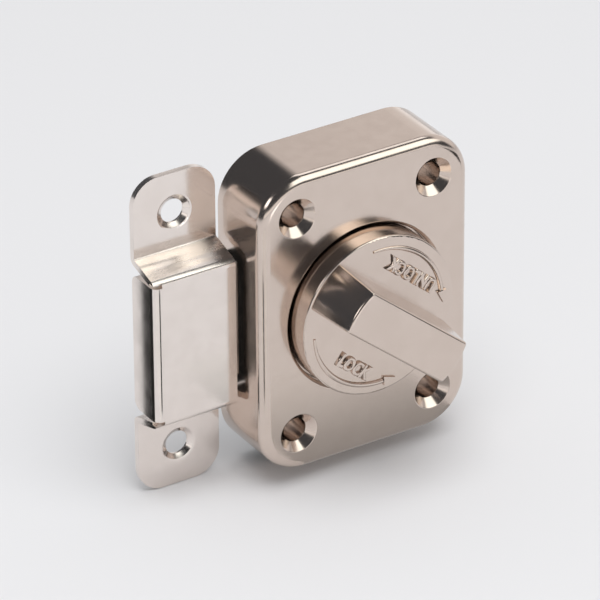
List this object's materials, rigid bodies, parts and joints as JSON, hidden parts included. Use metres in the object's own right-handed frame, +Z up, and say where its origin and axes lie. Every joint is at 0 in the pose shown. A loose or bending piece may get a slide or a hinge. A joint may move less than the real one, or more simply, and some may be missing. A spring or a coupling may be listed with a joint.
{
  "type": "twist latch",
  "caption": "Surface-mounted twist latch: a knob with a grip bar turns a quarter turn and drives a flat bolt out of the case, beside a bent sheet keeper.",
  "frame": {"origin": "middle of the four screw holes of the case, in the plane of the case's back face", "axes": "+X to the right seen from the front, away from the keeper; +Y into the door the latch is screwed to; +Z up. The knob's axis runs through the origin along Y, and the bolt slides out along -X."},
  "size_m": [0.0705, 0.0324, 0.0723],
  "materials": {
    "satin_nickel": "satin",
    "bright_nickel": "bright",
    "zinc_steel": "zinc plated",
    "spring_steel": "bright",
    "brass": "machined",
    "acetal": "smooth"
  },
  "bodies": {
    "case": {"case_body": "satin_nickel", "back_plate": "zinc_steel", "back_plate_screws": "zinc_steel", "knob_washer": "acetal", "wave_spring": "spring_steel", "bearing_plate": "zinc_steel", "spindle_bush": "brass", "upper_rail": "acetal", "lower_rail": "acetal", "rail_screws": "zinc_steel", "drag_spring": "spring_steel", "keeper": "bright_nickel"},
    "knob_group": {"knob": "satin_nickel", "spindle": "zinc_steel", "drive_gear": "zinc_steel", "gear_washer": "zinc_steel", "spindle_clip": "spring_steel"},
    "bolt_group": {"bolt_head": "bright_nickel", "rack_frame": "zinc_steel", "bolt_rivets": "zinc_steel"}
  },
  "joints": [
    {"name": "knob_turn", "type": "hinge", "parent": "case", "child": "knob_group", "pos_m": [0, -0.0165, 0], "axis": [0, -1, 0], "range_deg": [0, 90]},
    {"name": "bolt_throw", "type": "slide", "parent": "case", "child": "bolt_group", "axis": [-1, 0, 0], "range_m": [0, 0.01257]}
  ],
  "couplings": [
    {"joint": "bolt_throw", "follows": "knob_turn", "m_per_rad": 0.008}
  ]
}
